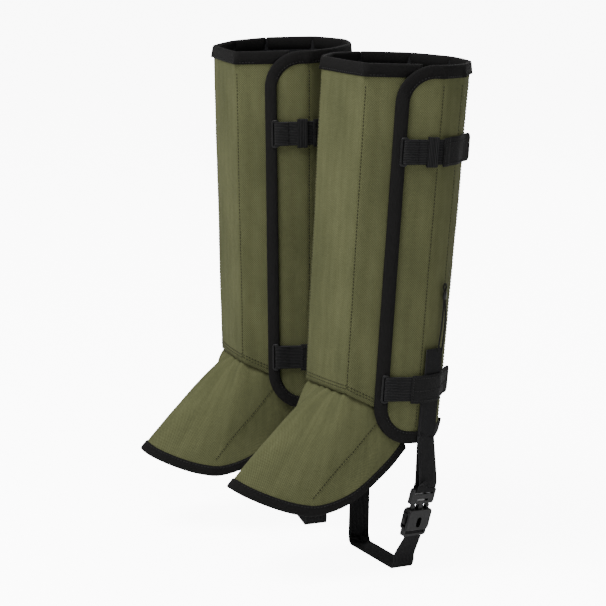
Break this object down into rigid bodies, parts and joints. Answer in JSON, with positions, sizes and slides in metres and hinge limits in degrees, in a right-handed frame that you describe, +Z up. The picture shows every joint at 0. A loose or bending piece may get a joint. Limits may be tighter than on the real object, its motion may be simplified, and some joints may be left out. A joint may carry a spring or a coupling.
{
  "type": "pair of tall leg gaiters",
  "caption": "Tall leg gaiters: a stiffened fabric tube with an overlapping side flap, strap closures, a shaped instep cover and a buckled stirrup under the shoe.",
  "frame": {"origin": "on the ground, at the middle of the footprint box of the pair", "axes": "+X towards the wearer's left, -Y the way the toes point, +Z up along the legs"},
  "size_m": [0.308, 0.2847, 0.5132],
  "materials": {
    "olive_fabric": "coarse woven nylon, coated, matt",
    "black_lining": "smooth woven lining",
    "binding_tape": "grosgrain binding tape",
    "stiffener_sheet": "flexible plastic sheet, plain",
    "ribbed_webbing": "ribbed nylon webbing",
    "tab_fabric": "smooth woven tape",
    "hook_and_loop": "hook and loop pile",
    "black_plastic": "moulded acetal, satin",
    "thin_cord": "braided thin cord"
  },
  "bodies": {
    "left_front": {"left_front_cover": "olive_fabric", "left_front_lining": "black_lining", "left_front_stays": "stiffener_sheet", "left_front_binding": "binding_tape", "left_hook_strip": "hook_and_loop"},
    "left_flap": {"left_flap_cover": "olive_fabric", "left_flap_lining": "black_lining", "left_flap_stays": "stiffener_sheet", "left_flap_binding": "binding_tape", "left_loop_strip": "hook_and_loop", "left_upper_ring": "black_plastic", "left_lower_ring": "black_plastic", "left_upper_strap": "ribbed_webbing", "left_lower_strap": "ribbed_webbing", "left_upper_keeper": "ribbed_webbing", "left_stirrup_webbing": "ribbed_webbing", "left_cord_loop": "thin_cord"},
    "left_back": {"left_back_cover": "olive_fabric", "left_back_lining": "black_lining", "left_back_stays": "stiffener_sheet", "left_back_binding": "binding_tape", "left_buckle_clip": "black_plastic", "left_buckle_shell": "black_plastic", "left_sole_strap": "ribbed_webbing"},
    "left_cover": {"left_instep_cover": "olive_fabric", "left_instep_binding": "binding_tape"},
    "left_upper_tab": {"left_upper_tab": "tab_fabric"},
    "left_lower_tab": {"left_lower_tab": "tab_fabric"},
    "left_front_prong": {"left_front_prong": "black_plastic"},
    "left_rear_prong": {"left_rear_prong": "black_plastic"},
    "right_front": {"right_front_cover": "olive_fabric", "right_front_lining": "black_lining", "right_front_stays": "stiffener_sheet", "right_front_binding": "binding_tape", "right_hook_strip": "hook_and_loop"},
    "right_flap": {"right_flap_cover": "olive_fabric", "right_flap_lining": "black_lining", "right_flap_stays": "stiffener_sheet", "right_flap_binding": "binding_tape", "right_loop_strip": "hook_and_loop", "right_upper_ring": "black_plastic", "right_lower_ring": "black_plastic", "right_upper_strap": "ribbed_webbing", "right_lower_strap": "ribbed_webbing", "right_upper_keeper": "ribbed_webbing", "right_stirrup_webbing": "ribbed_webbing", "right_cord_loop": "thin_cord"},
    "right_back": {"right_back_cover": "olive_fabric", "right_back_lining": "black_lining", "right_back_stays": "stiffener_sheet", "right_back_binding": "binding_tape", "right_buckle_clip": "black_plastic", "right_buckle_shell": "black_plastic", "right_sole_strap": "ribbed_webbing"},
    "right_cover": {"right_instep_cover": "olive_fabric", "right_instep_binding": "binding_tape"},
    "right_upper_tab": {"right_upper_tab": "tab_fabric"},
    "right_lower_tab": {"right_lower_tab": "tab_fabric"},
    "right_front_prong": {"right_front_prong": "black_plastic"},
    "right_rear_prong": {"right_rear_prong": "black_plastic"}
  },
  "joints": [
    {"name": "left_flap_swing", "type": "hinge", "parent": "left_back", "child": "left_flap", "pos_m": [0.10479, 0.12439, 0.32134], "axis": [-0.0031, 0.083, 0.9965], "range_deg": [0, 100]},
    {"name": "left_front_swing", "type": "hinge", "parent": "left_back", "child": "left_front", "pos_m": [0.00618, 0.05218, 0.34765], "axis": [0.0226, -0.0684, -0.9974], "range_deg": [0, 50]},
    {"name": "left_cover_tilt", "type": "hinge", "parent": "left_front", "child": "left_cover", "pos_m": [0.09156, -0.00803, 0.18833], "axis": [-0.9744, -0.2249, 0.004], "range_deg": [0, 25]},
    {"name": "left_upper_tab_peel", "type": "hinge", "parent": "left_flap", "child": "left_upper_tab", "pos_m": [0.14973, 0.08837, 0.42597], "axis": [-0.018, -0.0494, -0.9986], "range_deg": [0, 100]},
    {"name": "left_lower_tab_peel", "type": "hinge", "parent": "left_flap", "child": "left_lower_tab", "pos_m": [0.15099, 0.05899, 0.19395], "axis": [0.0033, -0.0378, -0.9993], "range_deg": [0, 100]},
    {"name": "left_front_prong_squeeze", "type": "hinge", "parent": "left_back", "child": "left_front_prong", "pos_m": [0.13829, 0.06745, 0.07217], "axis": [0.9254, 0.3302, -0.1858], "range_deg": [0, 5], "stiffness_Nm_per_rad": 0.5},
    {"name": "left_rear_prong_squeeze", "type": "hinge", "parent": "left_back", "child": "left_rear_prong", "pos_m": [0.13117, 0.08595, 0.06957], "axis": [-0.9254, -0.3302, 0.1858], "range_deg": [0, 5], "stiffness_Nm_per_rad": 0.5},
    {"name": "right_flap_swing", "type": "hinge", "parent": "right_back", "child": "right_flap", "pos_m": [-0.03767, 0.06885, 0.32687], "axis": [0.0077, 0.0052, 1], "range_deg": [0, 100]},
    {"name": "right_front_swing", "type": "hinge", "parent": "right_back", "child": "right_front", "pos_m": [-0.15104, 0.02082, 0.34852], "axis": [0.0147, 0.0043, -0.9999], "range_deg": [0, 50]},
    {"name": "right_cover_tilt", "type": "hinge", "parent": "right_front", "child": "right_cover", "pos_m": [-0.08125, -0.04592, 0.18429], "axis": [-0.9998, 0.0175, -0.004], "range_deg": [0, 25]},
    {"name": "right_upper_tab_peel", "type": "hinge", "parent": "right_flap", "child": "right_upper_tab", "pos_m": [-0.00374, 0.01519, 0.42802], "axis": [-0.02, 0.0326, -0.9993], "range_deg": [0, 100]},
    {"name": "right_lower_tab_peel", "type": "hinge", "parent": "right_flap", "child": "right_lower_tab", "pos_m": [-0.00745, 0.00413, 0.19444], "axis": [0.0034, 0.0388, -0.9992], "range_deg": [0, 100]},
    {"name": "right_front_prong_squeeze", "type": "hinge", "parent": "right_back", "child": "right_front_prong", "pos_m": [-0.01659, 0.02465, 0.07378], "axis": [0.9795, 0.1101, -0.1687], "range_deg": [0, 5], "stiffness_Nm_per_rad": 0.5},
    {"name": "right_rear_prong_squeeze", "type": "hinge", "parent": "right_back", "child": "right_rear_prong", "pos_m": [-0.01901, 0.04447, 0.07267], "axis": [-0.9795, -0.1101, 0.1687], "range_deg": [0, 5], "stiffness_Nm_per_rad": 0.5},
    {"name": "pair_apart", "type": "slide", "parent": "left_back", "child": "right_back", "axis": [-1, 0, 0], "range_m": [0, 0.24]}
  ],
  "couplings": [
    {"joint": "left_rear_prong_squeeze", "follows": "left_front_prong_squeeze", "ratio": 1},
    {"joint": "right_rear_prong_squeeze", "follows": "right_front_prong_squeeze", "ratio": 1},
    {"joint": "left_front_swing", "follows": "left_flap_swing", "ratio": 0.27},
    {"joint": "left_cover_tilt", "follows": "left_flap_swing", "ratio": 0.2499},
    {"joint": "right_flap_swing", "follows": "pair_apart", "rad_per_m": 7.2721},
    {"joint": "right_front_swing", "follows": "pair_apart", "rad_per_m": 3.2725},
    {"joint": "right_cover_tilt", "follows": "pair_apart", "rad_per_m": 1.818},
    {"joint": "right_upper_tab_peel", "follows": "pair_apart", "rad_per_m": 7.2721},
    {"joint": "right_lower_tab_peel", "follows": "pair_apart", "rad_per_m": 7.2721}
  ]
}
